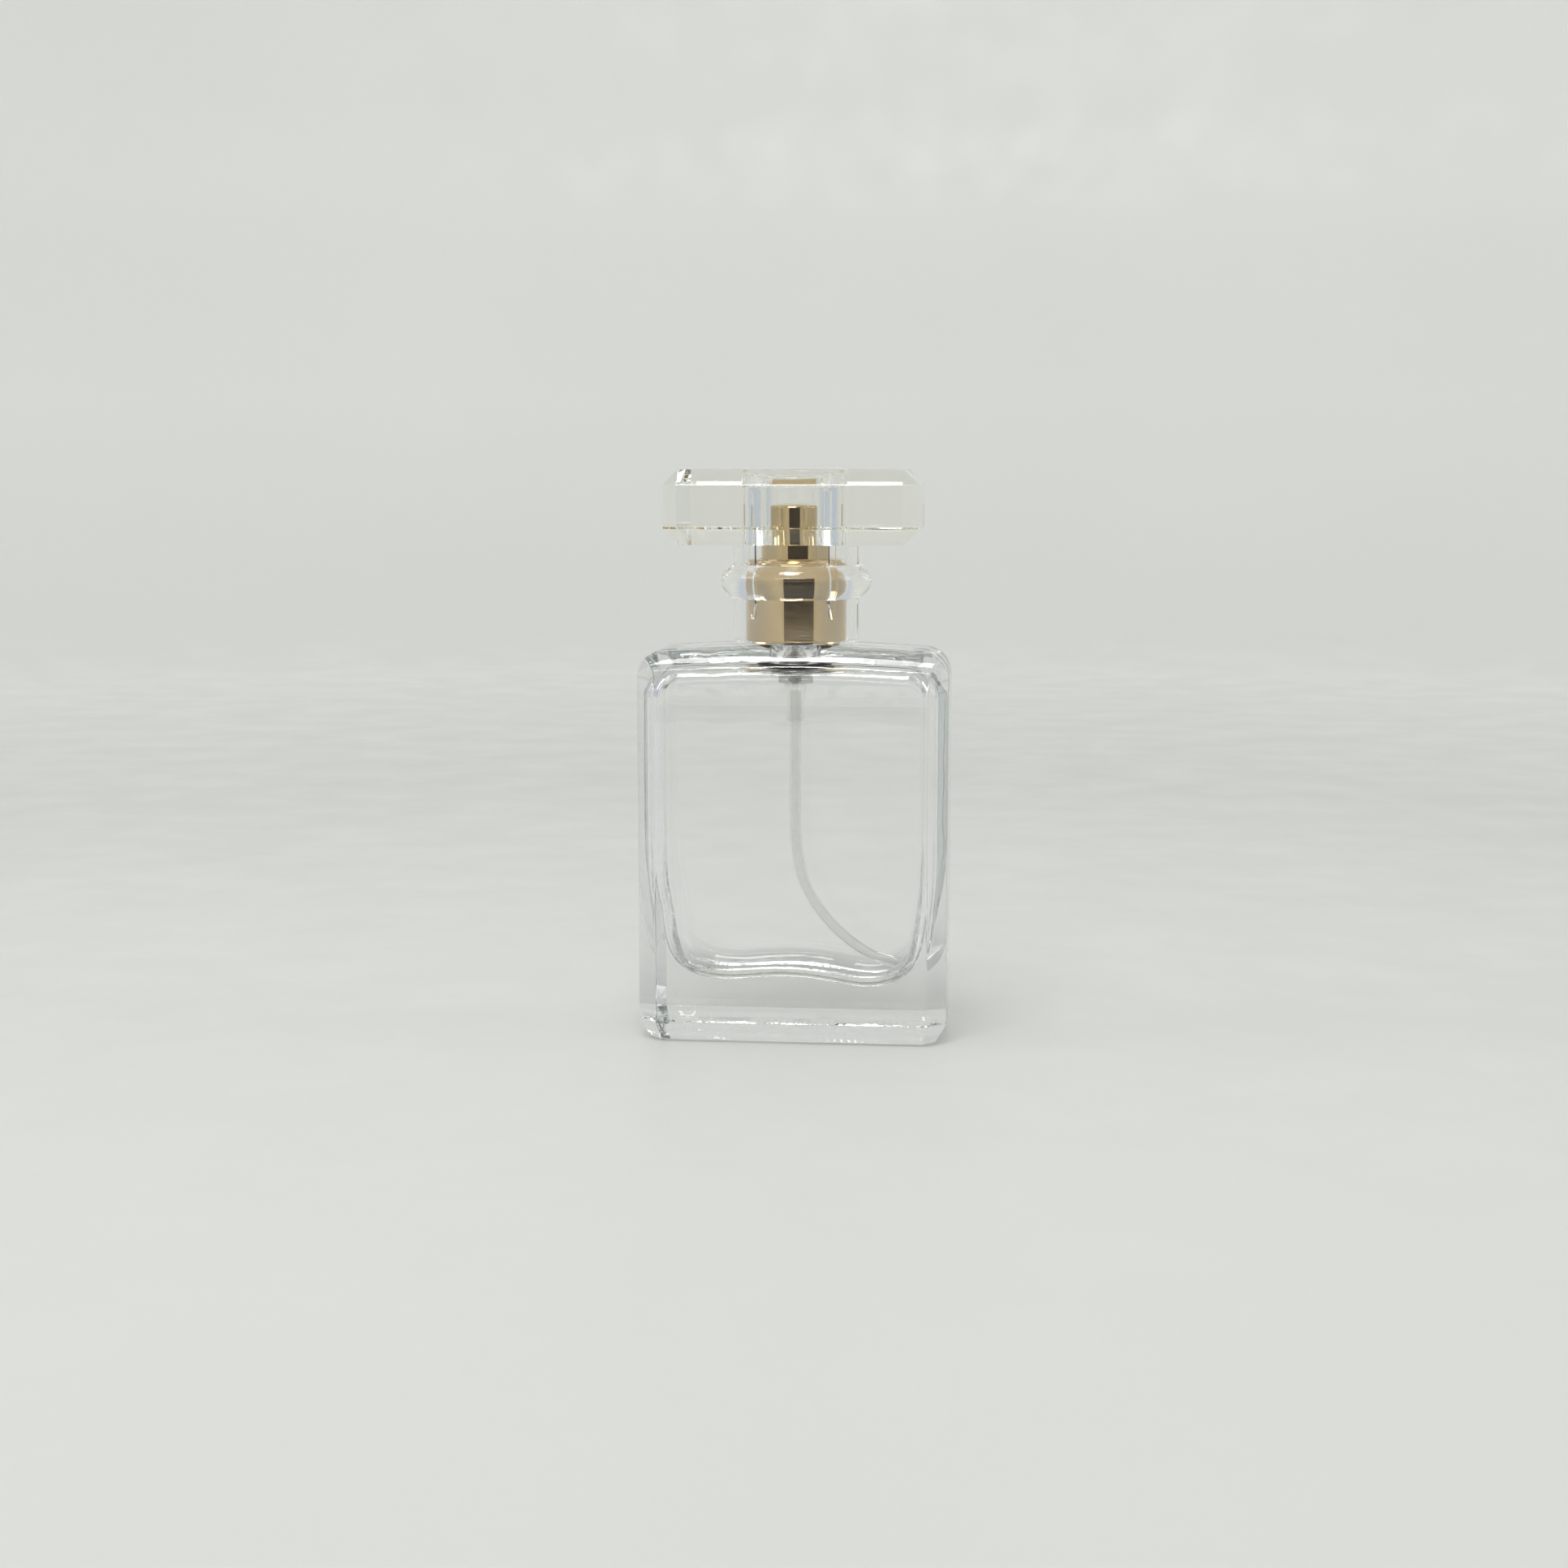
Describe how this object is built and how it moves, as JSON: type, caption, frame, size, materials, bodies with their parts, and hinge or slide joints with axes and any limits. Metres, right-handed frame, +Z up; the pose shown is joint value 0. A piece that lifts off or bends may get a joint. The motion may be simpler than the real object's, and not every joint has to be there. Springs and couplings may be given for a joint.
{
  "type": "perfume bottle",
  "caption": "Clear flat glass perfume bottle with a crimped fine-mist pump, gold collar and spray button, and a clear T-shaped cap.",
  "frame": {"origin": "centre of the bottle's base, on the surface it stands on", "axes": "+Z up along the neck, X across the bottle's width, -Y towards the bottle's front"},
  "size_m": [0.0532, 0.027, 0.0981],
  "materials": {
    "clear_glass": "clear moulded glass with a faint grey-green body tint",
    "cap_clear": "clear acrylic-like plastic, polished, very slightly warm",
    "gold_collar": "bright champagne-gold anodised",
    "gold_button": "bright champagne-gold anodised",
    "white_plastic": "moulded, satin",
    "nozzle_plastic": "moulded, gloss",
    "bare_aluminium": "drawn, lightly brushed",
    "gasket_rubber": "matte elastomer",
    "milky_plastic": "natural translucent polypropylene",
    "turret_plastic": "natural polyacetal",
    "stem_plastic": "natural polyacetal",
    "piston_plastic": "waxy polyethylene",
    "spring_steel": "drawn stainless wire",
    "ball_steel": "polished stainless",
    "tube_plastic": "thin translucent polyethylene tube"
  },
  "bodies": {
    "bottle": {"glass_bottle": "clear_glass", "neck_gasket": "gasket_rubber", "ferrule": "bare_aluminium", "collar": "gold_collar", "pump_housing": "milky_plastic", "pump_turret": "turret_plastic", "return_spring": "spring_steel", "dip_tube": "tube_plastic"},
    "cap": {"cap": "cap_clear"},
    "pump_stem": {"upper_stem": "stem_plastic", "lower_stem": "stem_plastic", "piston_spring": "spring_steel"},
    "piston": {"piston": "piston_plastic"},
    "button": {"actuator_shell": "gold_button", "actuator_core": "white_plastic", "nozzle_insert": "nozzle_plastic"},
    "inlet_ball": {"check_ball": "ball_steel"}
  },
  "joints": [
    {"name": "cap_lift", "type": "slide", "parent": "bottle", "child": "cap", "axis": [0, 0, 1], "range_m": [0, 0.03]},
    {"name": "press", "type": "slide", "parent": "bottle", "child": "pump_stem", "axis": [0, 0, -1], "range_m": [0, 0.0035], "stiffness_N_per_m": 900, "springref_m": -0.006, "deforming": ["return_spring"]},
    {"name": "button_turn", "type": "hinge", "parent": "pump_stem", "child": "button", "pos_m": [0, 0, 0.086], "axis": [0, 0, 1], "continuous": true},
    {"name": "piston_slip", "type": "slide", "parent": "pump_stem", "child": "piston", "axis": [0, 0, 1], "range_m": [0, 0.0003], "stiffness_N_per_m": 300, "springref_m": -0.003, "deforming": ["piston_spring"]},
    {"name": "ball_lift", "type": "slide", "parent": "bottle", "child": "inlet_ball", "axis": [0, 0, 1], "range_m": [0, 0.0006]}
  ]
}
